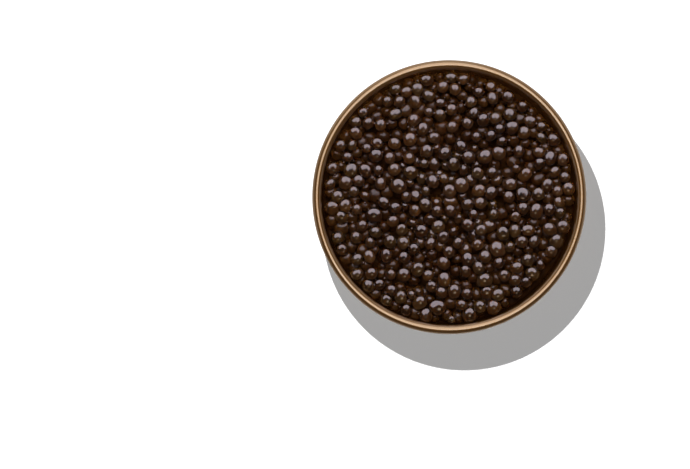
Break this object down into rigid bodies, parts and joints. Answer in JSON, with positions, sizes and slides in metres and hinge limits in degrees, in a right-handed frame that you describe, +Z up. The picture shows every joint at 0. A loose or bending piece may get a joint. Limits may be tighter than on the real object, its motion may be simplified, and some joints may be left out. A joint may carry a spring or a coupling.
{
  "type": "open tin of caviar",
  "caption": "Shallow round metal tin with an outward rolled rim, open and filled nearly to the top with glossy dark brown caviar eggs.",
  "frame": {"origin": "centre of the foot ring, on the surface that the tin stands on", "axes": "+Z up along the tin's axis; X and Y lie in the table's plane, with +Y the side that the light comes from"},
  "size_m": [0.07, 0.07, 0.018],
  "materials": {
    "lacquered_tin": "satin gold lacquer over tinplate, metallic",
    "caviar": "wet glossy skins, dark brown, slightly translucent"
  },
  "bodies": {
    "root": {"tin": "lacquered_tin", "caviar": "caviar"}
  },
  "joints": []
}
